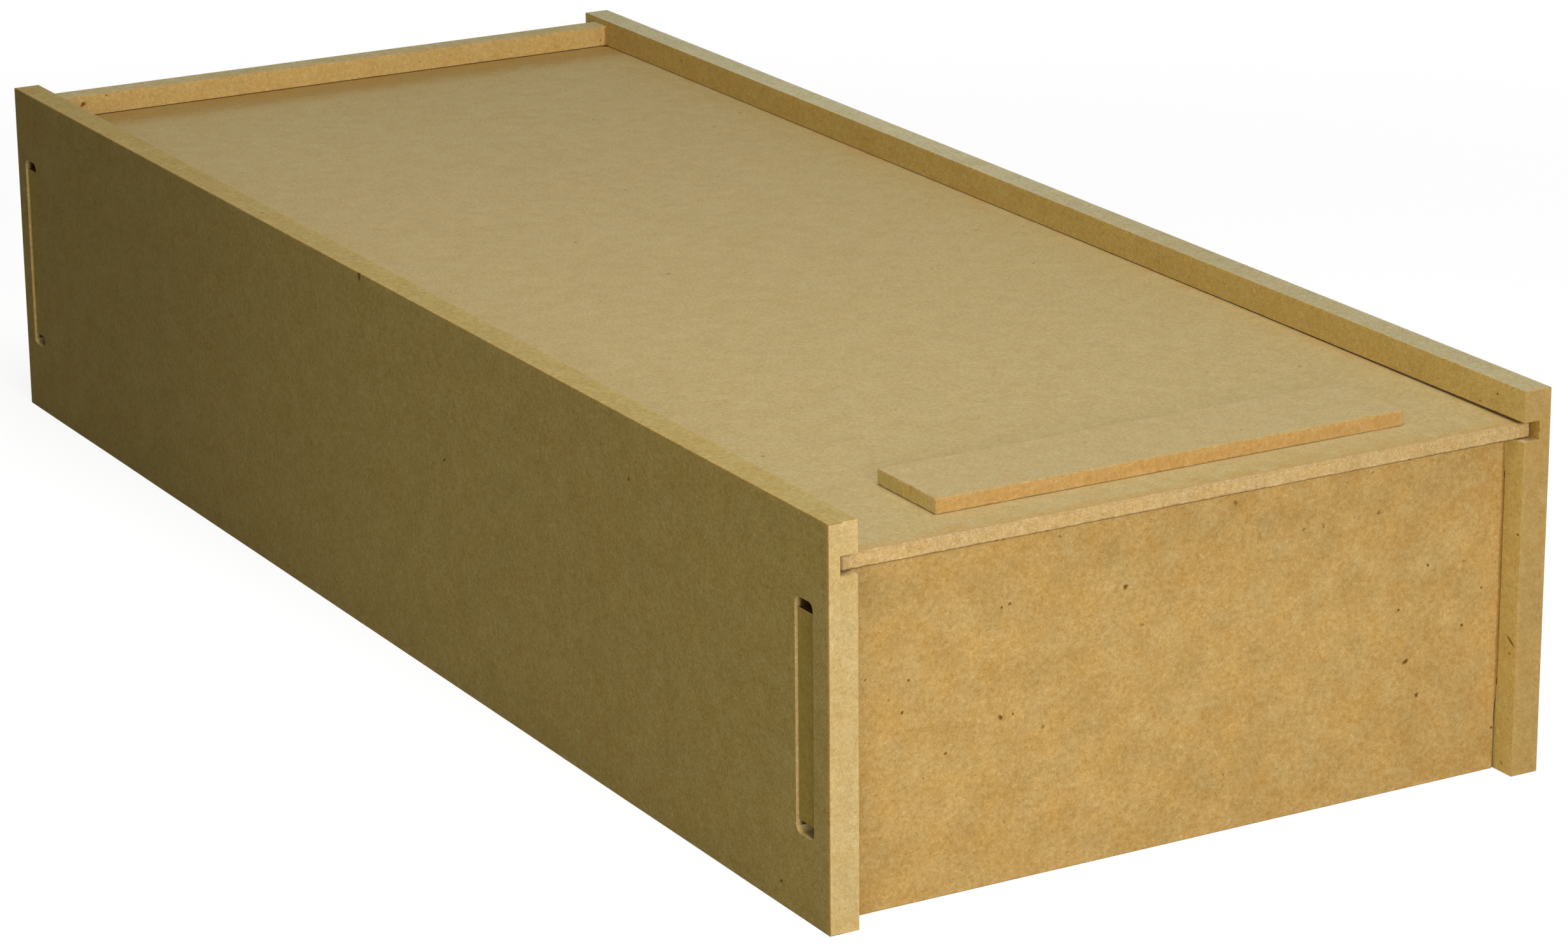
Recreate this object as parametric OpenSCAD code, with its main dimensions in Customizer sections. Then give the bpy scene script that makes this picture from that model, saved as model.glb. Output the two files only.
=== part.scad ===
// Box of fibreboard with a sliding lid.
//
// Two long sides are slotted near each end. The front and back have a tab on each end that passes
// through those slots. A thin bottom is caught in grooves all round. The lid, with a pull strip
// across it, slides in through grooves and comes out at the front.
//
// X runs across the box, +Y towards the back and +Z up. The origin is at the middle of the base.

/* [Box] */
// Outside length, over the ends of the sides
box_length = 372; // [200:1:500]
// Outside width, over the faces of the sides
box_width = 155; // [125:1:250]
// Height of the sides
box_height = 76; // [65:1:140]
// Thickness of the sides, front and back
wall = 6; // [5:0.5:9]

/* [Front and back] */
// How far the front panel stands in from the ends of the sides
front_set_in = 5.5; // [3:0.1:12]
// How far the back panel stands in from the ends of the sides
back_set_in = 4.7; // [3:0.1:12]
// How far the top of the back panel lies under the tops of the sides
back_top_drop = 1.3; // [0:0.1:2]
// Gap between the front panel and the lid that passes over it
front_top_gap = 0.2; // [0.1:0.1:1]

/* [Tabs and slots] */
// Height of the tabs on the front and back panels
tab_height = 39.6; // [15:0.1:44]
// How far the tab ends stay under the outer faces of the sides
tab_recess = 0.55; // [0:0.05:2]
// Gap at each face of a tab in its slot
slot_side_gap = 0.15; // [0.1:0.05:1]
// Gap above and below a tab in its slot
slot_end_gap = 2.3; // [0.2:0.1:4]
// Radius that the cutter leaves in the corners of a slot
slot_corner_radius = 1.4; // [0.5:0.1:2.5]

/* [Lid grooves] */
// Wood left on the sides above the lid groove
groove_top_wall = 6.1; // [4:0.1:12]
// Height of the lid groove in the sides
groove_height = 3.8; // [3.3:0.1:5]
// Height of the lid groove in the back panel
back_groove_height = 4.2; // [3.3:0.1:5]
// Depth of the lid grooves
groove_depth = 3.5; // [2:0.1:4]

/* [Lid] */
// Thickness of the lid board
lid_thickness = 3; // [2:0.1:3.1]
// Running clearance under the lid
lid_under_gap = 0.1; // [0.05:0.05:0.15]
// Gap between each long edge of the lid and the floor of its groove
lid_side_gap = 1; // [0.3:0.1:1.5]
// How far the lid is pushed to the right, as a share of the gap at its edge
lid_push = 0.4; // [-0.8:0.1:0.8]
// Gap between the rear edge of the lid and the floor of the groove in the back panel
lid_rear_gap = 0.3; // [0.1:0.1:1]
// How far the front edge of the closed lid stays behind the ends of the sides
lid_front_recess = 2.1; // [0:0.1:4]
// Radius of the rear corners of the lid
lid_rear_radius = 12; // [1:0.5:16]

/* [Pull] */
// Length of the pull strip, across the box
pull_length = 101.3; // [40:0.1:110]
// Width of the pull strip, along the box
pull_width = 19.8; // [10:0.1:40]
// Thickness of the pull strip
pull_thickness = 3; // [2:0.1:6]
// Distance from the front edge of the lid to the strip
pull_from_front = 10.1; // [2:0.1:40]
// How far the strip lies to the right of the middle
pull_offset = 2.1; // [-5:0.1:5]

/* [Bottom] */
// Thickness of the bottom board
bottom_thickness = 3; // [2:0.1:5]
// Height of the underside of the bottom above the table
bottom_rise = 4; // [2:0.1:6]
// Depth of the grooves that hold the bottom
bottom_groove_depth = 3; // [1.5:0.1:3.5]
// Gap above the bottom board in its grooves
bottom_groove_play = 0.2; // [0.1:0.05:0.5]
// Gap between the edges of the bottom board and the floors of its grooves
bottom_edge_gap = 0.4; // [0.1:0.1:0.8]

/* [Hidden] */
$fn = 64;

// How far a cut runs past the face that it opens
past = 1;

half_width = box_width / 2;
half_length = box_length / 2;

// Inner faces of the four walls
side_inner = half_width - wall;
front_outer = -half_length + front_set_in;
front_inner = front_outer + wall;
back_outer = half_length - back_set_in;
back_inner = back_outer - wall;

// Floor and roof of the lid groove, as heights above the table
groove_roof = box_height - groove_top_wall;
groove_floor = groove_roof - groove_height;

// Top edges of the front and back panels
front_top = groove_floor - front_top_gap;
back_top = box_height - back_top_drop;

// Tabs and slots are centred on the height of the sides
tab_reach = half_width - tab_recess;
slot_thickness = wall + 2 * slot_side_gap;
slot_height = tab_height + 2 * slot_end_gap;

// The lid from its front edge to its rear edge, and across
lid_front = -half_length + lid_front_recess;
lid_rear = back_inner + groove_depth - lid_rear_gap;
lid_half_width = side_inner + groove_depth - lid_side_gap;
lid_middle = lid_push * lid_side_gap;
lid_base = groove_floor + lid_under_gap;
lid_top = lid_base + lid_thickness;

// Groove for the bottom board
bottom_groove_height = bottom_thickness + bottom_groove_play;

board_colour = [0.75, 0.61, 0.39];
side_colour = [0.70, 0.58, 0.37];
lid_colour = [0.72, 0.63, 0.44];
pull_colour = [0.77, 0.58, 0.36];
bottom_colour = [0.66, 0.53, 0.35];

// A block given by its lowest and highest corners
module block(low, high) {
    translate(low)
        cube(high - low);
}

// A rectangle about the origin with round corners
module round_rectangle(size, radius) {
    square([size[0], size[1] - 2 * radius], center = true);
    square([size[0] - 2 * radius, size[1]], center = true);
    for (sx = [-1, 1], sy = [-1, 1])
        translate([sx * (size[0] / 2 - radius), sy * (size[1] / 2 - radius)])
            circle(r = radius);
}

// A slot right through the left side, for a tab whose middle is at y
module tab_slot(y) {
    translate([-half_width - past, y, box_height / 2])
        rotate([90, 0, 90])
            linear_extrude(wall + 2 * past)
                round_rectangle([slot_thickness, slot_height], slot_corner_radius);
}

// The groove for the bottom board in the left side. The cutter leaves round ends, which stay
// hidden behind the front and back panels.
module side_bottom_groove() {
    radius = bottom_groove_height / 2;
    ends = [front_inner - bottom_groove_depth, back_inner + bottom_groove_depth];
    block(
        [-side_inner - bottom_groove_depth, ends[0], bottom_rise],
        [-side_inner + past, ends[1], bottom_rise + bottom_groove_height]
    );
    for (y = ends)
        translate([-side_inner - bottom_groove_depth, y, bottom_rise + radius])
            rotate([0, 90, 0])
                cylinder(r = radius, h = bottom_groove_depth + past);
}

// The left side, with its lid groove on the inner face, open at both ends
module side_board() {
    difference() {
        block([-half_width, -half_length, 0], [-side_inner, half_length, box_height]);
        block(
            [-side_inner - groove_depth, -half_length - past, groove_floor],
            [-side_inner + past, half_length + past, groove_roof]
        );
        tab_slot((front_outer + front_inner) / 2);
        tab_slot((back_outer + back_inner) / 2);
        side_bottom_groove();
    }
}

module side_panel_left() {
    color(side_colour)
        side_board();
}

module side_panel_right() {
    color(side_colour)
        mirror([1, 0, 0])
            side_board();
}

// A board between the sides, from y0 to y1, with a tab on each end
module tabbed_board(y0, y1, top) {
    middle = box_height / 2;
    block([-side_inner, y0, 0], [side_inner, y1, top]);
    block(
        [-tab_reach, y0, middle - tab_height / 2],
        [tab_reach, y1, middle + tab_height / 2]
    );
}

// A groove between the sides, for the bottom board, over the range of y given
module end_bottom_groove(y0, y1) {
    block(
        [-side_inner - past, y0, bottom_rise],
        [side_inner + past, y1, bottom_rise + bottom_groove_height]
    );
}

module front_panel() {
    color(board_colour)
        difference() {
            tabbed_board(front_outer, front_inner, front_top);
            end_bottom_groove(front_inner - bottom_groove_depth, front_inner + past);
        }
}

module back_panel() {
    color(board_colour)
        difference() {
            tabbed_board(back_inner, back_outer, back_top);
            end_bottom_groove(back_inner - past, back_inner + bottom_groove_depth);
            block(
                [-side_inner - past, back_inner - past, groove_floor],
                [side_inner + past, back_inner + groove_depth, groove_floor + back_groove_height]
            );
        }
}

module bottom_board() {
    reach = bottom_groove_depth - bottom_edge_gap;
    color(bottom_colour)
        block(
            [-side_inner - reach, front_inner - reach, bottom_rise],
            [side_inner + reach, back_inner + reach, bottom_rise + bottom_thickness]
        );
}

module lid_board() {
    color(lid_colour)
        translate([lid_middle, 0, lid_base])
            linear_extrude(lid_thickness) {
                translate([-lid_half_width, lid_front])
                    square([2 * lid_half_width, lid_rear - lid_rear_radius - lid_front]);
                translate([-lid_half_width + lid_rear_radius, lid_front])
                    square([2 * (lid_half_width - lid_rear_radius), lid_rear - lid_front]);
                for (side = [-1, 1])
                    translate([side * (lid_half_width - lid_rear_radius), lid_rear - lid_rear_radius])
                        circle(r = lid_rear_radius);
            }
}

module lid_pull() {
    front = lid_front + pull_from_front;
    color(pull_colour)
        block(
            [pull_offset - pull_length / 2, front, lid_top],
            [pull_offset + pull_length / 2, front + pull_width, lid_top + pull_thickness]
        );
}

side_panel_left();
side_panel_right();
front_panel();
back_panel();
bottom_board();
lid_board();
lid_pull();
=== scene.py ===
import math

import bmesh
import bpy
import numpy as np
from mathutils import Matrix, Vector, noise


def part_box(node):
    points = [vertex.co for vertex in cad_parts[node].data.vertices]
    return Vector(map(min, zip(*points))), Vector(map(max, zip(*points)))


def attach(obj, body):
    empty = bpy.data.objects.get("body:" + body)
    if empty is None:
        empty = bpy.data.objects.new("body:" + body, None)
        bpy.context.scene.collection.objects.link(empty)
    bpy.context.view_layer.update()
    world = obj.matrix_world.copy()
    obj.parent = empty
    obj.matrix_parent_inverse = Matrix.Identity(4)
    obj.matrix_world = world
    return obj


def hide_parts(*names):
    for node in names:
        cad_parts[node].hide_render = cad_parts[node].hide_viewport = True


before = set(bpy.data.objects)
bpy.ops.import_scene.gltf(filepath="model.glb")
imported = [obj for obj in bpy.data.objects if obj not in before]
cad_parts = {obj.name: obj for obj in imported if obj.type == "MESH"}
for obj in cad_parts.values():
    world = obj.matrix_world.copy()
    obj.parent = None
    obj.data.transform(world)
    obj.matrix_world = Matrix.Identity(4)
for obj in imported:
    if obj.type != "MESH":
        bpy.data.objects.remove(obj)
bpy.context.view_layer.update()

# ---- Camera ----------------------------------------------------------------------------------
# The photograph was taken with a long lens from the left of the front end, looking a little down
# on the box. The picture leans by half a degree.
CAMERA_PLACE = Vector((-0.4894, -0.8927, 0.3496))
CAMERA_AZIMUTH = math.radians(-29.72)
CAMERA_ELEVATION = math.radians(17.92)
CAMERA_LEAN = math.radians(-0.48)
CAMERA_LENS = 116.3
CAMERA_SENSOR = 36
CAMERA_REACH = 20


def new_object(name, data):
    """Puts a camera, a mesh or a lamp in the scene."""
    thing = bpy.data.objects.new(name, data)
    bpy.context.scene.collection.objects.link(thing)
    return thing


def camera_matrix(place, azimuth, elevation, lean):
    """Stands the camera at its place, looking at the box from that side, with the picture leaning."""
    back = Vector((
        math.sin(azimuth) * math.cos(elevation),
        -math.cos(azimuth) * math.cos(elevation),
        math.sin(elevation),
    ))
    right = Vector((0, 0, 1)).cross(back).normalized()
    up = back.cross(right)
    upright = Matrix((right, up, back)).transposed()
    leaning = Matrix.Rotation(lean, 3, back) @ upright
    return Matrix.Translation(place) @ leaning.to_4x4()


camera = new_object("camera", bpy.data.cameras.new("camera"))
camera.data.lens = CAMERA_LENS
camera.data.sensor_width = CAMERA_SENSOR
camera.data.clip_end = CAMERA_REACH
camera.matrix_world = camera_matrix(CAMERA_PLACE, CAMERA_AZIMUTH, CAMERA_ELEVATION, CAMERA_LEAN)
bpy.context.scene.camera = camera

# ---- Long sides ------------------------------------------------------------------------------
# Two boards of 6 mm fibreboard, sawn to length, with the grooves for the lid and the bottom and a
# slot near each end cut by a router. Their outside arrises are eased with fine sandpaper, and the
# routed ones are left nearly sharp. The board has no grain: it is felted wood fibre, pressed hard.
SIDE_TONES = {
    "left": {
        # Painted shade: the left pressed face is the same board as the right's, written darker for the
        # half shade it stands in
        "pressed face": (148, 129, 71),
        "long edge": (169, 150, 94),
        "sawn end": (189, 165, 112),
        "routed face": (178, 156, 104),
        "eased arris": (138, 113, 60),
        # Painted light: the groove floors are written paler for the low front light that reaches them
        "groove floor with painted light": (214, 190, 134),
    },
    "right": {
        "pressed face": (185, 158, 90),
        "long edge": (172, 162, 124),
        "sawn end": (174, 145, 88),
        "routed face": (172, 139, 68),
        "eased arris": (168, 141, 92),
        # Painted light: the groove floor is written paler for the low front light that reaches it
        "groove floor with painted light": (200, 180, 130),
    },
}

# How strongly the light and dark of the felt shows on the pressed faces
SIDE_DEPTHS = {"left": 1.35, "right": 0.8}

ACROSS, LENGTHWISE, UPRIGHT = range(3)

# Painted light and shade for how the lamps fall off towards the back: the top of the right side is
# painted paler there, and the face of the left side darker. A band is an axis, where on it the tint
# starts, where it is full, and the tint.
SIDE_EDGE_PAINTED_LIGHT = {"left": (), "right": ((LENGTHWISE, -0.085, 0.095, (1.28, 1.35, 1.5)),)}
SIDE_FACE_PAINTED_SHADE = {"left": ((LENGTHWISE, -0.02, 0.15, (0.77, 0.76, 0.67)),), "right": ()}

# How far the sandpaper reached round an arris, and how much of that a routed arris has
SIDE_EASE = 0.00018
ROUTED_SHARE = 0.3

# The middle of the thickness. The arrises outside it keep the full ease and the darker tone of the
# eased arris.
SIDE_MIDDLE = sum(corner.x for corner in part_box("side_panel_right")) / 2

# The slots lie between these heights, and the grooves under and over them
SLOT_HEIGHTS = (0.010, 0.064)

# A face whose normal rises by more than this looks up
LOOKS_UP = 0.3

# How a face of a board was made. The marked ones are different on each board: the walls of a slot,
# which carry painted shade deep inside, the near-black shoulders and cheeks of a tab, the torn arris of
# the lid, painted dark for the shade under its edge.
PRESSED, RIPPED, CROSSCUT, ROUTED, EASED, MARKED, GROOVE_FLOOR = range(7)

# Vertices nearer to each other than WELD are one, and what is nearer than FLUSH to the outside of a
# board lies in it
WELD = 0.000002
FLUSH = 0.00002

# Faces that turn less than this are one face, and edges that turn more than this are arrises
NEARLY_FLAT = math.radians(1)
SHARP = math.radians(35)


def whole_board(node):
    """The frame's board with its flat faces whole, as a mesh that may be changed."""
    shape = bmesh.new()
    shape.from_mesh(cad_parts[node].data)
    bmesh.ops.remove_doubles(shape, verts=shape.verts, dist=WELD)
    bmesh.ops.dissolve_limit(shape, angle_limit=NEARLY_FLAT, verts=shape.verts, edges=shape.edges)
    shape.normal_update()
    return shape


def sort_faces(shape, node, through, ends):
    """Marks how each face was made. Through is the axis of the thickness, ends that of the length."""
    low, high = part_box(node)
    for face in shape.faces:
        axis = max(range(3), key=lambda i: abs(face.normal[i]))
        place = face.verts[0].co[axis]
        outside = min(place - low[axis], high[axis] - place) < FLUSH
        if not outside:
            face.material_index = ROUTED
        elif axis == through:
            face.material_index = PRESSED
        elif axis == ends:
            face.material_index = CROSSCUT
        else:
            face.material_index = RIPPED


def ridges_of(shape):
    """The arrises: edges where two faces meet at an outside corner."""
    return [
        edge for edge in shape.edges
        if edge.is_convex and edge.calc_face_angle(0) > SHARP
    ]


def outside_arris(node):
    """Tells whether a point lies where two outside faces of the board meet."""
    low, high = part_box(node)

    def test(point):
        return sum(min(point[i] - low[i], high[i] - point[i]) < FLUSH for i in range(3)) >= 2

    return test


def nearest_on_ridges(points, starts, ends):
    """For each point, the nearest of the straight ridges and its nearest point there."""
    run = ends - starts
    share = ((points[:, None] - starts) * run).sum(2) / (run * run).sum(1)
    feet = starts + np.clip(share, 0, 1)[..., None] * run
    nearest = ((points[:, None] - feet) ** 2).sum(2).argmin(1)
    return nearest, feet[np.arange(len(points)), nearest]


# Sizes of the places where the sandpaper took more, and of the frayed fibres
WANDER_SIZE = 0.021
FRAY_SIZE = 0.0012


def ease_arrises(shape, node, ease, step=0.003, wander=0.3, fray=0.12, middle=0.0):
    """Rounds every arris, less where it is routed or nearer to the middle of the box than given.

    It is worked in lengths of about a step. Wander is how much more or less the sandpaper took from
    place to place, and fray the same from fibre to fibre, both as shares of the ease.
    """
    ridges = ridges_of(shape)
    starts = np.array([edge.verts[0].co for edge in ridges])
    ends = np.array([edge.verts[1].co for edge in ridges])
    outside = outside_arris(node)
    shares = [
        1.0 if outside(point) and abs(point[0]) >= middle else ROUTED_SHARE
        for point in (starts + ends) / 2
    ]
    for edge in ridges:
        for part in range(math.ceil(edge.calc_length() / step), 1, -1):
            bmesh.utils.edge_split(edge, edge.verts[0], 1 / part)
    bmesh.ops.bevel(
        shape, geom=ridges_of(shape), offset=ease, offset_type="OFFSET", segments=3, profile=0.5,
        affect="EDGES", clamp_overlap=False, material=EASED,
    )
    worn = list({vert for face in shape.faces if face.material_index == EASED for vert in face.verts})
    points = np.array([vert.co for vert in worn])
    for vert, nearest, foot in zip(worn, *nearest_on_ridges(points, starts, ends)):
        foot = Vector(foot)
        more = wander * noise.noise(foot / WANDER_SIZE) + fray * noise.noise(foot / FRAY_SIZE)
        vert.co = foot + (vert.co - foot) * (1 + more) * shares[nearest]


def board_piece(name, node, shape, body, finishes):
    """Makes the piece that stands for a board of the frame, with one finish for each kind of face."""
    mesh = bpy.data.meshes.new(name)
    shape.to_mesh(mesh)
    shape.free()
    for finish in finishes:
        mesh.materials.append(finish)
    for polygon in mesh.polygons:
        polygon.use_smooth = polygon.material_index in (EASED, MARKED)
    piece = new_object(name, mesh)
    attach(piece, body)
    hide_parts(node)
    return piece


def tone(red, green, blue):
    """A colour as it reads on a screen, each part from 0 to 255, as a socket takes it."""
    parts = [part / 255 for part in (red, green, blue)]
    return [part / 12.92 if part < 0.04045 else ((part + 0.055) / 1.055) ** 2.4 for part in parts] + [1]


def bare_tree(owner):
    """The node tree of a material or a world, with nothing in it yet."""
    owner.use_nodes = True
    owner.node_tree.nodes.clear()
    return owner.node_tree


def add(tree, kind, inputs, **settings):
    """Adds a shader node. An input is a plain value, or another node's output to link it to."""
    node = tree.nodes.new(kind)
    for name, value in settings.items():
        setattr(node, name, value)
    for socket, value in inputs.items():
        if isinstance(value, bpy.types.NodeSocket):
            tree.links.new(value, node.inputs[socket])
        else:
            node.inputs[socket].default_value = value
    return node


def calculate(tree, operation, *values, clamp=False):
    """A number worked out from one to three others."""
    inputs = dict(enumerate(values))
    return add(tree, "ShaderNodeMath", inputs, operation=operation, use_clamp=clamp).outputs[0]


def move(tree, operation, first, second):
    """A vector worked out from two others."""
    inputs = {0: first, 1: second}
    return add(tree, "ShaderNodeVectorMath", inputs, operation=operation).outputs[0]


def combine(tree, x, y, z):
    """A vector made of three numbers."""
    return add(tree, "ShaderNodeCombineXYZ", {"X": x, "Y": y, "Z": z}).outputs[0]


def clouds(tree, vector, scale, detail, rough=0.5):
    """Noise in soft clouds. The first output is a value, and the second a colour."""
    inputs = {"Vector": vector, "Scale": scale, "Detail": detail, "Roughness": rough}
    return add(tree, "ShaderNodeTexNoise", inputs).outputs


def stray(tree, vector, scale, detail, reach):
    """A small shift in any direction, different from place to place."""
    # The parts of the noise's colour lie round a half
    shift = move(tree, "SUBTRACT", clouds(tree, vector, scale, detail)[1], (0.5, 0.5, 0.5))
    return add(tree, "ShaderNodeVectorMath", {0: shift, "Scale": reach}, operation="SCALE").outputs[0]


def spread_out(tree, value, low, high, start=0.0, end=1.0):
    """Stretches a value so that low reads as start and high as end, with a soft turn at each."""
    inputs = {"Value": value, "From Min": low, "From Max": high, "To Min": start, "To Max": end}
    return add(tree, "ShaderNodeMapRange", inputs, interpolation_type="SMOOTHSTEP").outputs[0]


def blend_colours(tree, share, first, second):
    """From the first colour to the second as the share goes from 0 to 1."""
    mixer = add(tree, "ShaderNodeMix", {}, data_type="RGBA")
    for label, value in {"Factor": share, "A": first, "B": second}.items():
        socket = next(socket for socket in mixer.inputs if socket.enabled and socket.name == label)
        if isinstance(value, bpy.types.NodeSocket):
            tree.links.new(value, socket)
        else:
            socket.default_value = value
    return next(socket for socket in mixer.outputs if socket.enabled)


def lay(tree, shade, share, tint, before=(1, 1, 1)):
    """Tints a colour by a share. Where the share is 0 the tint is the one named before."""
    layer = blend_colours(tree, share, [*before, 1], [*tint, 1])
    return move(tree, "MULTIPLY", shade, layer)


def new_group(name, inputs, outputs):
    """An effect that several finishes share. Returns the group, its inputs and its outputs."""
    group = bpy.data.node_groups.new(name, "ShaderNodeTree")
    for label, kind in inputs.items():
        group.interface.new_socket(label, in_out="INPUT", socket_type=kind)
    for label, kind in outputs.items():
        group.interface.new_socket(label, in_out="OUTPUT", socket_type=kind)
    entry = group.nodes.new("NodeGroupInput")
    leaving = group.nodes.new("NodeGroupOutput")
    return group, entry.outputs, leaving.inputs


NUMBER = "NodeSocketFloat"
VECTOR = "NodeSocketVector"


def felted_clumps():
    """The uneven felt: tufts of about a millimetre down to single fibre ends, and wide patches."""
    contrast = 2.2
    lift = -0.6
    group, given, result = new_group(
        "felted clumps",
        {"Vector": VECTOR, "Tuft Size": NUMBER},
        {"Tufts": NUMBER, "Patches": NUMBER, "Warmth": NUMBER},
    )
    # Each layer's size as a share of the tuft's, where it starts, its detail and its roughness
    layers = {
        "Tufts": (1.0, 0.0, 3.5, 0.9),
        "Patches": (5.0, 3.7, 2.0, 0.6),
        "Warmth": (7.0, 7.3, 4.0, 0.75),
    }
    for label, (share, start, detail, rough) in layers.items():
        size = calculate(group, "MULTIPLY", given["Tuft Size"], share)
        vector = move(group, "ADD", given["Vector"], (start, start, start))
        pattern = clouds(group, vector, calculate(group, "DIVIDE", 1.0, size), detail, rough)
        stretched = calculate(group, "MULTIPLY_ADD", pattern[0], contrast, lift, clamp=True)
        group.links.new(stretched, result[label])
    return group


def loose_fibres():
    """Single fibres that lie in the sheet in every direction, a little curled."""
    directions = 5
    first_turn = 0.3
    soft_edge = 0.1
    # Each direction takes its fibres from another part of the noise
    apart = (5.3, 2.9, 7.7)
    group, given, result = new_group(
        "loose fibres",
        {"Vector": VECTOR, "Length": NUMBER, "Width": NUMBER, "Cover": NUMBER},
        {"Fibres": NUMBER},
    )
    curl_scale = calculate(group, "DIVIDE", 1.0, given["Length"])
    curl = stray(group, given["Vector"], curl_scale, detail=0.0, reach=given["Length"])
    curled = move(group, "ADD", given["Vector"], curl)
    size = combine(group, given["Length"], given["Width"], given["Width"])
    limit = calculate(group, "SUBTRACT", 1.0, given["Cover"])
    found = 0.0
    for direction in range(directions):
        turn = math.pi * (direction + first_turn) / directions
        inputs = {"Vector": curled, "Rotation": (0, 0, turn)}
        turned = add(group, "ShaderNodeMapping", inputs).outputs[0]
        drawn = move(group, "DIVIDE", turned, size)
        drawn = move(group, "ADD", drawn, [direction * shift for shift in apart])
        strands = clouds(group, drawn, scale=1.0, detail=0.0)
        full = calculate(group, "ADD", limit, soft_edge)
        found = calculate(group, "MAXIMUM", found, spread_out(group, strands[0], limit, full))
    group.links.new(found, result["Fibres"])
    return group


def bark_specks():
    """Specks of bark pressed into the sheet, far apart and of all sizes up to the one given."""
    # Radii are shares of the speck's size, most of them near the smallest. The core is all dark.
    smallest = 0.12
    spread = 0.5
    mostly_small = 2.0
    core_share = 0.5
    faintest = 0.2
    faint_spread = 0.6
    group, given, result = new_group(
        "bark specks",
        {"Vector": VECTOR, "Spacing": NUMBER, "Speck Size": NUMBER, "Share": NUMBER},
        {"Specks": NUMBER},
    )
    ragged_scale = calculate(group, "DIVIDE", 1.0, given["Speck Size"])
    ragged = stray(group, given["Vector"], ragged_scale, detail=1.0, reach=given["Speck Size"])
    vector = move(group, "ADD", given["Vector"], ragged)
    cells = add(
        group, "ShaderNodeTexVoronoi",
        {"Vector": vector, "Scale": calculate(group, "DIVIDE", 1.0, given["Spacing"])},
    )
    distance = calculate(group, "MULTIPLY", cells.outputs["Distance"], given["Spacing"])
    chance = add(group, "ShaderNodeSeparateColor", {0: cells.outputs["Color"]}).outputs
    bigness = calculate(group, "POWER", chance[0], mostly_small)
    radius = calculate(group, "MULTIPLY_ADD", bigness, spread, smallest)
    radius = calculate(group, "MULTIPLY", given["Speck Size"], radius)
    core = calculate(group, "MULTIPLY", radius, core_share)
    inside = spread_out(group, distance, core, radius, start=1.0, end=0.0)
    chosen = calculate(group, "LESS_THAN", chance[1], given["Share"])
    faint = calculate(group, "MULTIPLY_ADD", chance[2], faint_spread, faintest)
    seen = calculate(group, "MULTIPLY", chosen, faint)
    group.links.new(calculate(group, "MULTIPLY", inside, seen), result["Specks"])
    return group


def single_speck():
    """One speck or dark fibre that the eye picks out, at its own place in the sheet."""
    ragged_scale = 2500.0
    # Shares of the speck's width and size: how ragged it is, how much is all dark, where it ends
    ragged_share = 0.6
    dark_share = 0.2
    clear_share = 0.58
    group, given, result = new_group(
        "single speck",
        {"Vector": VECTOR, "Centre": VECTOR, "Length": NUMBER, "Width": NUMBER, "Turn": NUMBER},
        {"Speck": NUMBER},
    )
    reach = calculate(group, "MULTIPLY", given["Width"], ragged_share)
    ragged = stray(group, given["Vector"], ragged_scale, detail=1.0, reach=reach)
    from_centre = move(group, "SUBTRACT", given["Vector"], given["Centre"])
    from_centre = move(group, "ADD", from_centre, ragged)
    turned = add(
        group, "ShaderNodeVectorRotate", {"Vector": from_centre, "Angle": given["Turn"]},
        rotation_type="Z_AXIS",
    )
    size = combine(group, given["Length"], given["Width"], given["Width"])
    in_sizes = move(group, "DIVIDE", turned.outputs[0], size)
    distance = add(group, "ShaderNodeVectorMath", {0: in_sizes}, operation="LENGTH").outputs["Value"]
    speck = spread_out(group, distance, dark_share, clear_share, start=1.0, end=0.0)
    group.links.new(speck, result["Speck"])
    return group


def cutter_marks():
    """Streaks across the thickness of the sheet, which a saw or a router leaves on a cut edge."""
    streak_length = 5.0
    faint = 0.25
    strong = 0.75
    group, given, result = new_group(
        "cutter marks",
        {"Vector": VECTOR, "Spacing": NUMBER},
        {"Marks": NUMBER},
    )
    length = calculate(group, "MULTIPLY", given["Spacing"], streak_length)
    size = combine(group, given["Spacing"], given["Spacing"], length)
    streaks = clouds(group, move(group, "DIVIDE", given["Vector"], size), scale=1.0, detail=2.0)
    group.links.new(spread_out(group, streaks[0], faint, strong), result["Marks"])
    return group


def edge_wear_and_shade_strip():
    """The strip of a face next to the arrises of the board: where hands and sandpaper reach, and on the
    lid where painted shade lies.
    """
    patchy_scale = 180.0
    # Over this range of the noise the strip goes from narrow to wide, as shares of the reach given
    patchy_range = (0.3, 0.7)
    reach_range = (0.3, 1.4)
    group, given, result = new_group(
        "edge wear and shade",
        {"Vector": VECTOR, "Low Corner": VECTOR, "High Corner": VECTOR, "Reach": NUMBER},
        {"Wear And Shade": NUMBER},
    )
    from_low = move(group, "SUBTRACT", given["Vector"], given["Low Corner"])
    from_high = move(group, "SUBTRACT", given["High Corner"], given["Vector"])
    nearest = move(group, "MINIMUM", from_low, from_high)
    nearest = add(group, "ShaderNodeSeparateXYZ", {0: nearest}).outputs
    # A face lies on one side of the board, so the second smallest distance is the one to an arris
    smaller = calculate(group, "MINIMUM", nearest[0], nearest[1])
    larger = calculate(group, "MAXIMUM", nearest[0], nearest[1])
    to_arris = calculate(group, "MAXIMUM", smaller, calculate(group, "MINIMUM", larger, nearest[2]))
    patchy = clouds(group, given["Vector"], patchy_scale, detail=3.0)
    reach = spread_out(group, patchy[0], *patchy_range, *reach_range)
    reach = calculate(group, "MULTIPLY", given["Reach"], reach)
    strip = spread_out(group, to_arris, 0.0, reach, start=1.0, end=0.0)
    group.links.new(strip, result["Wear And Shade"])
    return group


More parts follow.
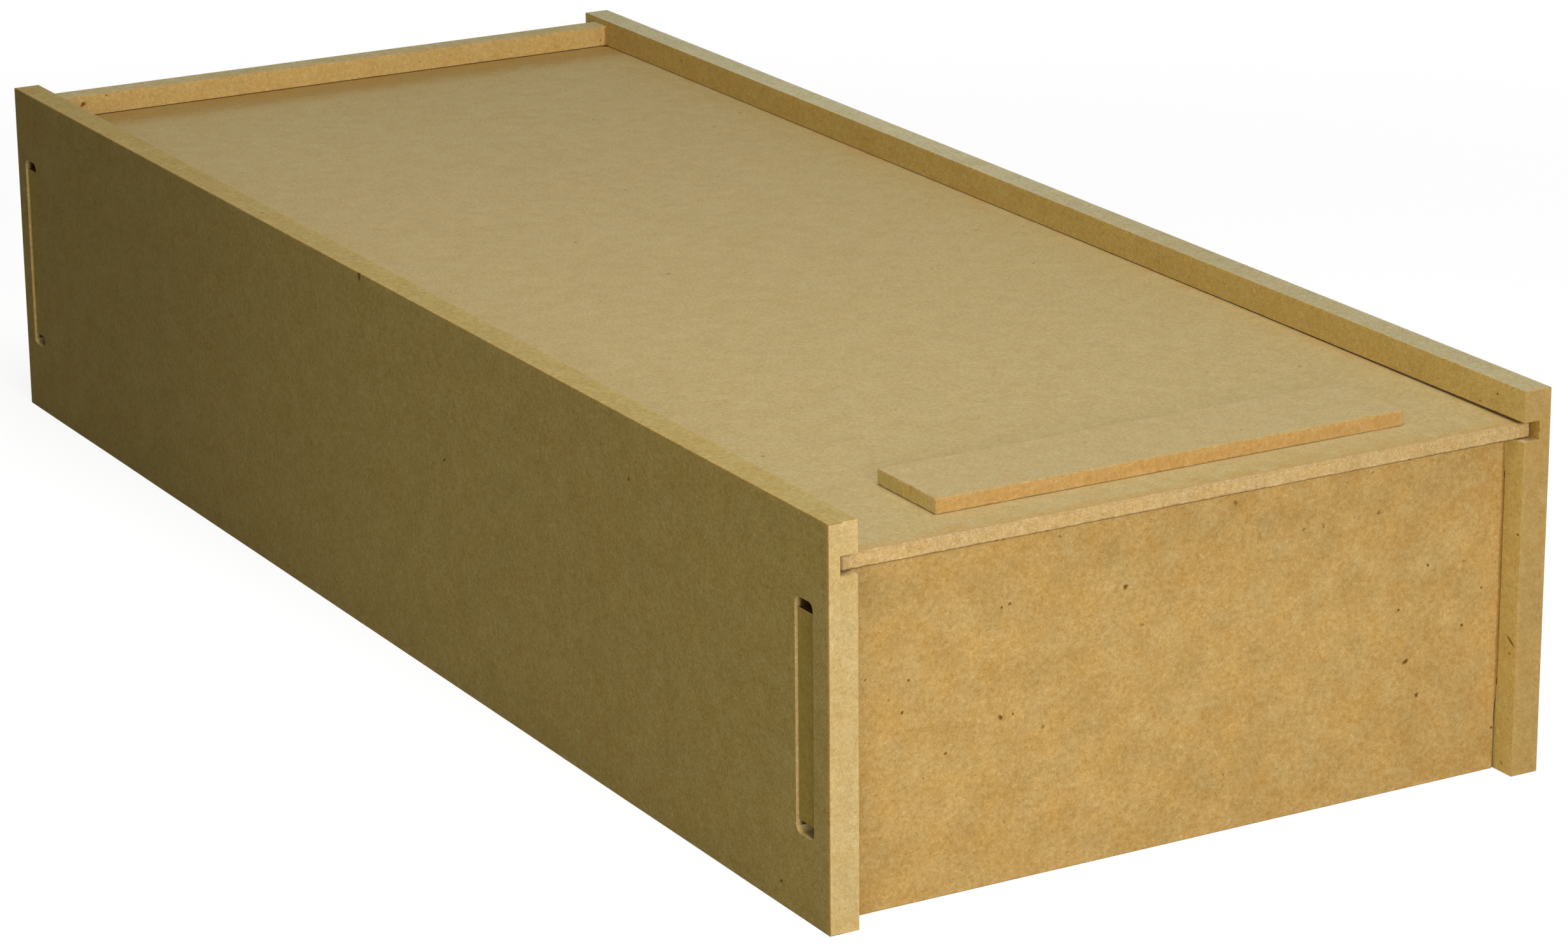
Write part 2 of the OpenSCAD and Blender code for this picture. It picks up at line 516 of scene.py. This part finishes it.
FELT = felted_clumps()
FIBRES = loose_fibres()
BARK = bark_specks()
SPECK = single_speck()
CUTTER = cutter_marks()
EDGE_WEAR_AND_SHADE = edge_wear_and_shade_strip()


def use(tree, group, inputs):
    """Places a shared effect in a finish, with that finish's own values."""
    return add(tree, "ShaderNodeGroup", inputs, node_tree=group).outputs


# Each board is cut from another part of the sheet, and its dark fibres lie apart from the pale ones
CUT_APART = (13, 7)
DARK_FIBRE_SHIFT = (1.3, 0.7, 0.4)

# Sizes of the fibres and specks in the sheet, and how far apart the cutter's streaks are
PALE_FIBRES = {"Length": 0.0011, "Width": 0.00028, "Cover": 0.31}
DARK_FIBRES = {"Length": 0.0009, "Width": 0.0003, "Cover": 0.29}
BARK_SIZES = {"Spacing": 0.004, "Speck Size": 0.0011}
STREAK_SPACING = 0.0007

# The part of red, green and blue that each layer of the felt adds, where there is least of it and
# where there is most
FELT_TINTS = {
    "Tufts": ((-0.12, -0.18, -0.34), (0.14, 0.17, 0.3)),
    "Patches": ((-0.045, -0.055, -0.08), (0.045, 0.05, 0.06)),
    "Warmth": ((-0.015, 0.01, 0.05), (0.02, -0.03, -0.12)),
}

# Tints that multiply the colour
STREAK_TINT = (0.8, 0.72, 0.66)
DARK_FIBRE_TINT = (0.8, 0.68, 0.48)
PALE_FIBRE_TINT = (1.24, 1.27, 1.42)
RUBBED_TINT = (1.05, 1.045, 1.04)
SPECK_TINT = (0.36, 0.22, 0.09)
# Painted shade for deep inside a slot
PAINTED_SLOT_SHADE = (0.15, 0.1, 0.05)

# How deep in a slot the painted shade starts, and where it is full
PAINTED_SLOT_SHADE_DEPTHS = (0.0005, 0.0016)

# How far the start of a band wanders with the patches, as a share of the band, or of this width where
# the band is wider
BAND_WANDER = 0.6
WIDEST_WANDER = 0.02

# Depth of the felt, and the share of it by which the pale fibres stand up and the specks lie down
RELIEF = 0.00004
FIBRE_RELIEF = 0.5
SPECK_RELIEF = -0.6

# What the patches and the pale fibres add to the roughness, and how little the board shines
PATCH_ROUGHNESS = -0.08
FIBRE_ROUGHNESS = 0.1
GLOSS = 0.03


def fibreboard(
    name, node, through, colour, tuft=0.0012, depth=1.35, patches=1.0, marks=0.0, fuzz=0.6, bark=0.2,
    wear_and_shade_tint=RUBBED_TINT, wear_and_shade_reach=0.0016, painted_slot_shade=False, roughness=0.62, specks=(), bands=(),
):
    """The finish of one kind of face. The axis named through runs through the board's thickness.

    Tuft is the size of the tufts, and depth and patches are how strongly they and the patches show.
    Marks and fuzz are the same for the cutter's streaks and the fibres. Bark is the share of the
    places for a speck that have one.
    """
    material = bpy.data.materials.new(name)
    tree = bare_tree(material)

    # Sheet coordinates: two along the sheet and one through it
    place = add(tree, "ShaderNodeTexCoord", {}).outputs["Object"]
    axes = add(tree, "ShaderNodeSeparateXYZ", {0: place}).outputs
    along = [axis for axis in range(3) if axis != through]
    in_sheet = combine(tree, axes[along[0]], axes[along[1]], axes[through])
    low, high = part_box(node)
    corner = (CUT_APART[0] * low.x + high.y, CUT_APART[1] * low.z + high.x, low.y)
    cut_from = move(tree, "ADD", in_sheet, corner)
    cut_further = move(tree, "ADD", cut_from, DARK_FIBRE_SHIFT)

    felt = use(tree, FELT, {"Vector": cut_from, "Tuft Size": tuft})
    pale = use(tree, FIBRES, {"Vector": cut_from, **PALE_FIBRES})["Fibres"]
    dark = use(tree, FIBRES, {"Vector": cut_further, **DARK_FIBRES})["Fibres"]
    wear_and_shade = {"Vector": place, "Low Corner": low, "High Corner": high, "Reach": wear_and_shade_reach}
    wear_and_shade = use(tree, EDGE_WEAR_AND_SHADE, wear_and_shade)["Wear And Shade"]
    dots = use(tree, BARK, {"Vector": cut_from, "Share": bark, **BARK_SIZES})["Specks"]
    for centre, length, width, turn in specks:
        speck = {"Centre": centre, "Length": length, "Width": width, "Turn": math.radians(-turn)}
        speck = use(tree, SPECK, {"Vector": in_sheet, **speck})["Speck"]
        dots = calculate(tree, "MAXIMUM", dots, speck)

    shade = tone(*colour)[:3]
    for label, share in {"Tufts": depth, "Patches": patches, "Warmth": patches}.items():
        least, most = [[1 + part * share for part in parts] for parts in FELT_TINTS[label]]
        shade = lay(tree, shade, felt[label], most, before=least)
    if marks:
        streaks = use(tree, CUTTER, {"Vector": cut_from, "Spacing": STREAK_SPACING})["Marks"]
        shade = lay(tree, shade, calculate(tree, "MULTIPLY", streaks, marks), STREAK_TINT)
    shade = lay(tree, shade, calculate(tree, "MULTIPLY", dark, fuzz), DARK_FIBRE_TINT)
    shade = lay(tree, shade, calculate(tree, "MULTIPLY", pale, fuzz), PALE_FIBRE_TINT)
    # Wear on most boards; on the lid this strip is painted shade
    shade = lay(tree, shade, wear_and_shade, wear_and_shade_tint)
    # Painted shade: deep in a slot the colour darkens, for the light that does not reach there
    if painted_slot_shade:
        from_low = calculate(tree, "SUBTRACT", axes[through], low[through])
        from_high = calculate(tree, "SUBTRACT", high[through], axes[through])
        inside = spread_out(tree, calculate(tree, "MINIMUM", from_low, from_high), *PAINTED_SLOT_SHADE_DEPTHS)
        shade = lay(tree, shade, inside, PAINTED_SLOT_SHADE)
    for axis, start, full, tint in bands:
        wander = BAND_WANDER * min(full - start, WIDEST_WANDER)
        reach = calculate(tree, "MULTIPLY_ADD", felt["Patches"], wander, axes[axis])
        shade = lay(tree, shade, spread_out(tree, reach, start, full), tint)
    shade = lay(tree, shade, dots, SPECK_TINT)

    height = calculate(tree, "MULTIPLY_ADD", pale, FIBRE_RELIEF * fuzz, felt["Tufts"])
    height = calculate(tree, "MULTIPLY_ADD", dots, SPECK_RELIEF, height)
    if marks:
        height = calculate(tree, "MULTIPLY_ADD", streaks, -marks, height)
    bump = add(tree, "ShaderNodeBump", {"Height": height, "Distance": RELIEF, "Strength": 1.0})
    roughest = roughness - PATCH_ROUGHNESS / 2
    dull = calculate(tree, "MULTIPLY_ADD", felt["Patches"], PATCH_ROUGHNESS, roughest)
    dull = calculate(tree, "MULTIPLY_ADD", pale, FIBRE_ROUGHNESS, dull, clamp=True)
    surface = add(
        tree, "ShaderNodeBsdfPrincipled",
        {
            "Base Color": shade, "Roughness": dull, "Normal": bump.outputs[0],
            "Specular IOR Level": GLOSS,
        },
    )
    add(tree, "ShaderNodeOutputMaterial", {"Surface": surface.outputs[0]})
    return material


# The specks that the eye picks out: centre in the sheet (two ways along it, and through it), length,
# width, and turn in degrees
LEFT_SPECKS = (
    ((0.0002, 0.0754, -0.0775), 0.0024, 0.0013, 80),
    ((-0.0366, 0.0467, -0.0775), 0.0018, 0.0005, 150),
    ((-0.1139, 0.0643, -0.0775), 0.0011, 0.0007, 110),
    ((-0.1690, 0.0046, -0.0775), 0.0014, 0.0007, 160),
)
RIGHT_SPECKS = (
    ((-0.1776, 0.0734, 0.0715), 0.0007, 0.0006, 0),
    ((-0.1724, 0.0707, 0.0715), 0.0004, 0.0004, 0),
    ((-0.1842, 0.0267, 0.0715), 0.0038, 0.0006, 34),
    ((-0.1840, 0.0241, 0.0715), 0.0006, 0.0006, 0),
    ((-0.1828, 0.0019, 0.0715), 0.0012, 0.0003, 35),
    ((-0.1851, 0.0480, 0.0715), 0.0009, 0.0006, 0),
    ((0.1372, 0.0738, 0.0715), 0.0009, 0.0004, 0),
)

for side, specks in (("left", LEFT_SPECKS), ("right", RIGHT_SPECKS)):
    node = f"side_panel_{side}"
    tones = SIDE_TONES[side]
    shape = whole_board(node)
    sort_faces(shape, node, ACROSS, LENGTHWISE)
    for face in shape.faces:
        if face.material_index == ROUTED:
            looks_up = face.normal.z > LOOKS_UP
            if SLOT_HEIGHTS[0] < face.calc_center_median().z < SLOT_HEIGHTS[1]:
                face.material_index = CROSSCUT if looks_up else MARKED
            elif looks_up:
                face.material_index = GROOVE_FLOOR
    ease_arrises(shape, node, SIDE_EASE, middle=SIDE_MIDDLE)
    for face in shape.faces:
        if face.material_index == EASED and abs(face.calc_center_median().x) < SIDE_MIDDLE:
            face.material_index = CROSSCUT
    board_piece(
        f"side_board_{side}", node, shape, "box",
        (
            fibreboard(
                f"side {side} pressed face", node, ACROSS, tones["pressed face"],
                depth=SIDE_DEPTHS[side], fuzz=0.75, specks=specks, bands=SIDE_FACE_PAINTED_SHADE[side],
            ),
            fibreboard(
                f"side {side} long edge", node, ACROSS, tones["long edge"], marks=0.12, specks=specks,
                bands=SIDE_EDGE_PAINTED_LIGHT[side],
            ),
            fibreboard(
                f"side {side} sawn end", node, ACROSS, tones["sawn end"], depth=1.0, marks=0.12,
                specks=specks,
            ),
            fibreboard(
                f"side {side} routed face", node, ACROSS, tones["routed face"], marks=0.3, fuzz=0.8,
            ),
            fibreboard(
                f"side {side} eased arris", node, ACROSS, tones["eased arris"], fuzz=0.8, specks=specks,
            ),
            # The slot walls carry painted shade deep inside
            fibreboard(f"side {side} slot", node, ACROSS, tones["routed face"], marks=0.3, painted_slot_shade=True),
            # The groove floors carry painted light
            fibreboard(f"side {side} routed floor with painted light", node, ACROSS, tones["groove floor with painted light"], marks=0.2),
        ),
    )

# ---- Front and back --------------------------------------------------------------------------
# Two boards of the same 6 mm fibreboard, set in from the ends of the sides. A tab on each end is
# glued into the slot of the side. The front is lower, because the lid passes over it, and the back
# has a groove for the rear edge of the lid. The front's face is more mottled than the sides.
END_TONES = {"front": (179, 149, 92), "back": (191, 161, 100)}
END_DEPTHS = {"front": 1.35, "back": 0.9}
END_PATCHES = {"front": 2.0, "back": 1.0}
END_EDGE_TONE = (186, 172, 126)
# The tab ends show in the slots of the left side, in its half shade, and are written darker: painted
# shade
TAB_END_SHADED_TONE = (139, 120, 57)
TAB_CHEEK_TONE = (74, 52, 22)
END_GROOVE_TONE = (174, 140, 82)
END_ARRIS_TONE = (176, 148, 96)
END_EASE = 0.0003

# A thin dark strip on the face along the right side, where the board meets it
SEAM_BAND = (ACROSS, 0.0709, 0.0716, (0.62, 0.5, 0.34))

# Gap between the boards and the right side under the tabs, and the heights where it is full and shut
SHOULDER_GAP = 0.0004
SHOULDER_HEIGHTS = (0.0125, 0.0155)

# How far the lip of the back board sags towards the lid, and the heights between which its underside
# lies
LIP_DROP = 0.00037
LIP_HEIGHTS = (0.0695, 0.0715)

FRONT_SPECKS = (
    ((0.0628, 0.0304, -0.1805), 0.0008, 0.0008, 0),
    ((0.0499, 0.0255, -0.1805), 0.0020, 0.0008, 25),
    ((0.0528, 0.0184, -0.1805), 0.0012, 0.0010, 40),
    ((0.0545, 0.0437, -0.1805), 0.0009, 0.0006, 120),
    ((0.0480, 0.0360, -0.1805), 0.0008, 0.0006, 0),
    ((-0.0128, 0.0516, -0.1805), 0.0013, 0.0010, 60),
    ((-0.0372, 0.0528, -0.1805), 0.0008, 0.0007, 0),
    ((-0.0389, 0.0524, -0.1805), 0.0007, 0.0005, 60),
    ((-0.0581, 0.0424, -0.1805), 0.0007, 0.0007, 0),
    ((-0.0594, 0.0366, -0.1805), 0.0009, 0.0006, 60),
    ((-0.0390, 0.0318, -0.1805), 0.0014, 0.0010, 130),
    ((-0.0364, 0.0319, -0.1805), 0.0006, 0.0006, 0),
    ((-0.0505, 0.0272, -0.1805), 0.0008, 0.0005, 30),
    ((0.0671, 0.0370, -0.1805), 0.0007, 0.0006, 0),
    ((0.0706, 0.0084, -0.1805), 0.0008, 0.0006, 0),
    ((0.0711, 0.0034, -0.1805), 0.0008, 0.0004, 0),
)
BACK_SPECKS = (
    ((-0.0650, 0.0727, 0.1753), 0.0019, 0.0011, 35),
    ((-0.0591, 0.0741, 0.1753), 0.0006, 0.0005, 0),
    ((0.0699, 0.0714, 0.1753), 0.0006, 0.0005, 0),
)


def blacken_cheeks(shape):
    """Marks the shoulders, and the tops and undersides of the tabs, which are given a near-black tone.
    """
    side_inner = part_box("side_panel_right")[0].x
    for face in shape.faces:
        if abs(face.calc_center_median().x) > side_inner - WELD and face.material_index == ROUTED:
            face.material_index = MARKED


def draw_in_shoulders(shape):
    """Leaves a thin dark gap between the board and the right side, from under the tab to the table."""
    side_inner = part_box("side_panel_right")[0].x
    full, shut = SHOULDER_HEIGHTS
    for vert in shape.verts:
        if abs(vert.co.x - side_inner) < 2 * END_EASE:
            vert.co.x -= SHOULDER_GAP * min(max((shut - vert.co.z) / (shut - full), 0), 1)


def lower_lip(shape):
    """Lets the lip over the lid groove of the back board sag, nearly onto the lid."""
    lowest, highest = LIP_HEIGHTS
    for vert in shape.verts:
        if lowest < vert.co.z < highest:
            vert.co.z -= LIP_DROP


for end, specks in (("front", FRONT_SPECKS), ("back", BACK_SPECKS)):
    node = f"{end}_panel"
    shape = whole_board(node)
    sort_faces(shape, node, LENGTHWISE, ACROSS)
    blacken_cheeks(shape)
    ease_arrises(shape, node, END_EASE)
    draw_in_shoulders(shape)
    lower_lip(shape)
    board_piece(
        f"{end}_board", node, shape, "box",
        (
            fibreboard(
                f"{end} pressed face", node, LENGTHWISE, END_TONES[end], depth=END_DEPTHS[end],
                patches=END_PATCHES[end], bark=0.3, specks=specks, bands=(SEAM_BAND,),
            ),
            fibreboard(f"{end} sawn edge", node, LENGTHWISE, END_EDGE_TONE, marks=0.16),
            fibreboard(f"{end} shaded tab end", node, LENGTHWISE, TAB_END_SHADED_TONE, marks=0.1),
            fibreboard(f"{end} routed face", node, LENGTHWISE, END_GROOVE_TONE, marks=0.3, fuzz=0.8),
            fibreboard(f"{end} eased arris", node, LENGTHWISE, END_ARRIS_TONE, fuzz=0.8),
            fibreboard(f"{end} dark tab cheeks", node, LENGTHWISE, TAB_CHEEK_TONE, marks=0.3),
        ),
    )

# ---- Bottom ----------------------------------------------------------------------------------
# A thin board of 3 mm fibreboard, caught in the grooves of all four walls with no glue. Its edges
# are left as sawn.
BOTTOM_TONE = (178, 152, 96)
BOTTOM_EDGE_TONE = (186, 156, 102)
BOTTOM_EASE = 0.0002

shape = whole_board("bottom_board")
sort_faces(shape, "bottom_board", UPRIGHT, LENGTHWISE)
ease_arrises(shape, "bottom_board", BOTTOM_EASE)
bottom_face = fibreboard("bottom pressed face", "bottom_board", UPRIGHT, BOTTOM_TONE)
bottom_edge = fibreboard("bottom sawn edge", "bottom_board", UPRIGHT, BOTTOM_EDGE_TONE, marks=0.2)
board_piece(
    "base_board", "bottom_board", shape, "box",
    (bottom_face, bottom_edge, bottom_edge, bottom_edge, bottom_edge),
)

# ---- Lid -------------------------------------------------------------------------------------
# A board of 3 mm fibreboard that slides in the grooves. Its rear corners are rounded so that it finds
# them, and it is bent up a little. The saw tore the underside of its front edge, and that arris is
# painted dark for the shade under the edge.
LID_TONE = (178, 159, 111)
LID_EDGE_TONE = (190, 163, 112)
LID_ARRIS_TONE = (170, 146, 102)
LID_TORN_SHADE_TONE = (112, 80, 42)
LID_EASE = 0.0004

# How far up and how far back the torn arris with its painted shade goes
LID_TORN_SHADE_EXTENT = (0.6 * LID_EASE, LID_EASE)

# The thin board is finer and smoother than the thick one, and its arrises fray more
THIN_FACE = {"tuft": 0.0007, "depth": 1.2, "patches": 0.9, "fuzz": 0.35, "roughness": 0.5}
THIN_ARRIS = {"step": 0.0008, "fray": 0.5}

# The lid bends up from its front edge until it all but touches the roofs of its grooves. Most of that
# happens within this share of its length. The bend is made of about this many flat strips.
LID_RISE = 0.00058
LID_RISE_SHARE = 0.15
LID_STRIPS = 12

# The face is painted browner next to the back panel and along its edges: painted shade, with warm light
# reflected from the back panel
LID_REAR_PAINTED_SHADE = (LENGTHWISE, 0.1620, 0.1735, (0.8, 0.69, 0.5))
LID_EDGE_PAINTED_SHADE = (0.99, 0.88, 0.72)
LID_EDGE_SHADE_REACH = 0.007

LID_SPECKS = (
    ((-0.0018, 0.0097, 0.0692), 0.0022, 0.0006, 20),
    ((0.0354, 0.0043, 0.0692), 0.0012, 0.0009, 0),
    ((0.0047, -0.0536, 0.0692), 0.0020, 0.0008, -60),
    ((0.0082, -0.0820, 0.0692), 0.0010, 0.0008, 0),
    ((0.0011, -0.0839, 0.0692), 0.0009, 0.0007, 0),
    ((-0.0493, -0.0723, 0.0692), 0.0011, 0.0008, 20),
    ((-0.0228, -0.0595, 0.0692), 0.0009, 0.0007, 0),
    ((-0.0512, -0.0242, 0.0692), 0.0013, 0.0009, -30),
    ((-0.0188, -0.0272, 0.0692), 0.0012, 0.0008, 0),
    ((-0.0422, -0.1027, 0.0692), 0.0010, 0.0009, 0),
)


def bend_up(shape):
    """Lifts the lid, or what is glued to it, to where the bent lid is."""
    low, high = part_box("lid_board")
    for vert in shape.verts:
        share = (vert.co.y - low.y) / (high.y - low.y)
        vert.co.z += LID_RISE * (1 - math.exp(-share / LID_RISE_SHARE))


shape = whole_board("lid_board")
sort_faces(shape, "lid_board", UPRIGHT, LENGTHWISE)
low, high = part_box("lid_board")
lines = [low.y + (high.y - low.y) * strip / LID_STRIPS for strip in range(1, LID_STRIPS)]
# Where the long edges of the pull lie on it, the lid bends just as the pull does
lines += [corner.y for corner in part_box("lid_pull")]
for line in lines:
    everything = [*shape.verts, *shape.edges, *shape.faces]
    bmesh.ops.bisect_plane(shape, geom=everything, dist=WELD, plane_co=(0, line, 0), plane_no=(0, 1, 0))
ease_arrises(shape, "lid_board", LID_EASE, **THIN_ARRIS)
# The torn arris is painted dark: the shade under the lid's front edge, on an arris the saw left ragged
for face in shape.faces:
    middle = face.calc_center_median()
    torn = middle.z < low.z + LID_TORN_SHADE_EXTENT[0] and middle.y < low.y + LID_TORN_SHADE_EXTENT[1]
    if face.material_index == EASED and torn:
        face.material_index = MARKED
bend_up(shape)
lid_face = fibreboard(
    "lid pressed face", "lid_board", UPRIGHT, LID_TONE, wear_and_shade_tint=LID_EDGE_PAINTED_SHADE, wear_and_shade_reach=LID_EDGE_SHADE_REACH,
    specks=LID_SPECKS, bands=(LID_REAR_PAINTED_SHADE,), **THIN_FACE,
)
lid_edge = fibreboard("lid sawn edge", "lid_board", UPRIGHT, LID_EDGE_TONE, marks=0.35, fuzz=0.8)
lid_arris = fibreboard("lid eased arris", "lid_board", UPRIGHT, LID_ARRIS_TONE, marks=0.2, fuzz=0.8)
lid_torn_shade = fibreboard("lid torn arris with painted shade", "lid_board", UPRIGHT, LID_TORN_SHADE_TONE, marks=0.2, fuzz=0.8)
board_piece(
    "sliding_lid", "lid_board", shape, "lid",
    (lid_face, lid_edge, lid_edge, lid_edge, lid_arris, lid_torn_shade),
)

# ---- Pull strip ------------------------------------------------------------------------------
# An offcut of the same thin board, glued across the lid near its front edge. It gives the fingers
# something to push against.
PULL_TONE = (176, 157, 111)
PULL_EDGE_TONE = (186, 151, 93)
PULL_END_TONE = (196, 176, 107)
PULL_ARRIS_TONE = (168, 142, 92)
PULL_EASE = 0.00022

shape = whole_board("lid_pull")
sort_faces(shape, "lid_pull", UPRIGHT, ACROSS)
ease_arrises(shape, "lid_pull", PULL_EASE, **THIN_ARRIS)
bend_up(shape)
pull_face = fibreboard("pull pressed face", "lid_pull", UPRIGHT, PULL_TONE, **THIN_FACE)
pull_edge = fibreboard("pull long edge", "lid_pull", UPRIGHT, PULL_EDGE_TONE, depth=0.9, marks=0.3)
pull_end = fibreboard("pull sawn end", "lid_pull", UPRIGHT, PULL_END_TONE, depth=0.9, marks=0.3)
pull_arris = fibreboard("pull eased arris", "lid_pull", UPRIGHT, PULL_ARRIS_TONE, fuzz=0.8)
board_piece(
    "pull_strip", "lid_pull", shape, "lid",
    (pull_face, pull_edge, pull_end, pull_edge, pull_arris),
)

# ---- Floor and light -------------------------------------------------------------------------
# The box stands on a wide white floor. Soft lamps light its front end from low down and its lid from
# above, all close to the front, so the left side is in half shade and the far end is dimmer. A small
# low lamp behind the box lights only its back and its right side.
FLOOR_REACH = 6.0
FLOOR_COLOUR = (0.55, 0.55, 0.55, 1)
FLOOR_SHADE = (0.22, 0.22, 0.22, 1)

# How bright the floor looks to the camera near the box and far from it, and how far from the middle
# that is
FLOOR_GLOW = (0.86, 1.0)
GLOW_REACH = (0.3, 0.9)

ROOM_LIGHT = 0.115
ROOM_COLOUR = (1, 1, 1, 1)

# Name, place, the point that it faces, width, and power in watts
LAMPS = (
    ("front lamp", (-0.188, -0.886, 0.234), (0, -0.186, 0.04), 0.4, 3.8),
    ("side lamp", (-0.518, -0.621, 0.221), (0, -0.186, 0.04), 0.4, 1.0),
    ("top lamp", (-0.05, -0.25, 0.75), (0, -0.1, 0.07), 0.5, 4.15),
    ("rear lamp", (0.42, 0.86, 0.036), (0, 0.1, 0.036), 0.07, 3.5),
)


def background_rays(tree):
    """1 for the rays that show the background: straight to the camera, mirrored or through glass."""
    path = add(tree, "ShaderNodeLightPath", {}).outputs
    seen = calculate(tree, "MAXIMUM", path["Is Camera Ray"], path["Is Glossy Ray"])
    return calculate(tree, "MAXIMUM", seen, path["Is Transmission Ray"])


floor_mesh = bpy.data.meshes.new("floor")
corners = [(x * FLOOR_REACH, y * FLOOR_REACH, 0) for x, y in ((-1, -1), (1, -1), (1, 1), (-1, 1))]
floor_mesh.from_pydata(corners, [], [(0, 1, 2, 3)])
floor = new_object("floor", floor_mesh)

floor_finish = bpy.data.materials.new("white floor")
tree = bare_tree(floor_finish)
plain = add(tree, "ShaderNodeBsdfDiffuse", {"Color": FLOOR_COLOUR})
shaded = add(tree, "ShaderNodeBsdfDiffuse", {"Color": FLOOR_SHADE})
place = add(tree, "ShaderNodeTexCoord", {}).outputs["Object"]
distance = add(tree, "ShaderNodeVectorMath", {0: place}, operation="LENGTH").outputs["Value"]
strength = spread_out(tree, distance, *GLOW_REACH, *FLOOR_GLOW)
glow = add(tree, "ShaderNodeEmission", {"Strength": strength})
seen = add(tree, "ShaderNodeAddShader", {0: shaded.outputs[0], 1: glow.outputs[0]})
choices = {0: background_rays(tree), 1: plain.outputs[0], 2: seen.outputs[0]}
both = add(tree, "ShaderNodeMixShader", choices)
add(tree, "ShaderNodeOutputMaterial", {"Surface": both.outputs[0]})
floor_mesh.materials.append(floor_finish)

world = bpy.data.worlds.new("studio")
bpy.context.scene.world = world
tree = bare_tree(world)
room = add(tree, "ShaderNodeBackground", {"Color": ROOM_COLOUR, "Strength": ROOM_LIGHT})
white = add(tree, "ShaderNodeBackground", {"Color": ROOM_COLOUR, "Strength": 1.0})
choices = {0: background_rays(tree), 1: room.outputs[0], 2: white.outputs[0]}
both = add(tree, "ShaderNodeMixShader", choices)
add(tree, "ShaderNodeOutputWorld", {"Surface": both.outputs[0]})

for name, place, aim, width, power in LAMPS:
    lamp = new_object(name, bpy.data.lights.new(name, "AREA"))
    lamp.data.shape = "DISK"
    lamp.data.size = width
    lamp.data.energy = power
    lamp.location = place
    lamp.rotation_euler = (Vector(aim) - Vector(place)).to_track_quat("-Z", "Y").to_euler()

bpy.context.scene.view_settings.view_transform = "Standard"

# ---- Update ----------------------------------------------------------------------------------
# The scene is brought up to date.
bpy.context.view_layer.update()
